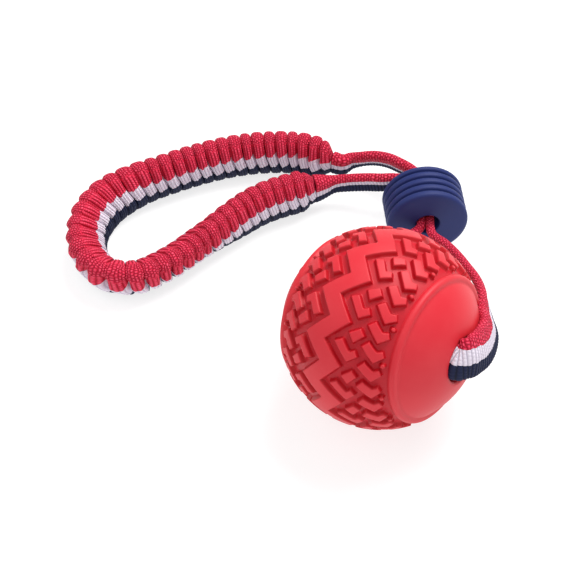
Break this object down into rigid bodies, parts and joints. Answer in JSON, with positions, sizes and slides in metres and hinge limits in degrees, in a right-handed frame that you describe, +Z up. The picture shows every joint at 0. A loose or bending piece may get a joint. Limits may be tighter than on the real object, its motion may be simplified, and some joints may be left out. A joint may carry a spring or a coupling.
{
  "type": "dog rope chew toy",
  "caption": "Treaded hollow rubber ball on a striped webbing strap that runs through a grooved rubber stopper and ends in a ruched elastic hand loop.",
  "frame": {"origin": "centre of the bounding box at floor level, with the toy lying as in the picture", "axes": "+Z up; +Y from the ball towards the stopper; the hand loop lies on the -X side"},
  "size_m": [0.1541, 0.1554, 0.07],
  "materials": {
    "red_rubber": "satin",
    "navy_rubber": "satin",
    "striped_webbing": "woven, red, white and navy bands",
    "elastic_core": "matte",
    "sewing_thread": "matte"
  },
  "bodies": {
    "handle": {"handle_sleeve": "striped_webbing", "bungee_core": "elastic_core"},
    "yoke": {"bar_tack_far": "sewing_thread", "bar_tack_near": "sewing_thread"},
    "tails": {"webbing_tail_far": "striped_webbing", "webbing_tail_near": "striped_webbing"},
    "stopper": {"stopper": "navy_rubber"},
    "ball_loop": {"webbing_strand_right": "striped_webbing", "webbing_strand_left": "striped_webbing", "webbing_in_ball": "striped_webbing", "splice_lap": "striped_webbing", "splice_stitching": "sewing_thread"},
    "ball": {"ball": "red_rubber"}
  },
  "joints": [
    {"name": "handle_stretch", "type": "slide", "parent": "handle", "child": "yoke", "axis": [1, 0, 0], "range_m": [0, 0.04], "stiffness_N_per_m": 400, "deforming": ["handle_sleeve", "bungee_core"]},
    {"name": "strap_swing", "type": "hinge", "parent": "yoke", "child": "tails", "pos_m": [0.01987, 0.0583, 0.01], "axis": [0, 0, 1], "range_deg": [-35, 45], "deforming": ["webbing_tail_far", "webbing_tail_near"]},
    {"name": "stopper_slide", "type": "slide", "parent": "tails", "child": "stopper", "axis": [0.0872, -0.9962, 0], "range_m": [0, 0.012], "deforming": ["webbing_tail_far", "webbing_tail_near"]},
    {"name": "ball_gap", "type": "slide", "parent": "stopper", "child": "ball_loop", "axis": [0.0872, -0.9962, 0], "range_m": [-0.012, 0], "deforming": ["webbing_strand_right", "webbing_strand_left"]},
    {"name": "ball_turn", "type": "hinge", "parent": "ball_loop", "child": "ball", "pos_m": [0.0378, -0.0427, 0.035], "axis": [0.7855, -0.5898, 0.1874], "range_deg": [-90, 90]}
  ],
  "couplings": [
    {"joint": "ball_gap", "follows": "stopper_slide", "ratio": -1}
  ]
}
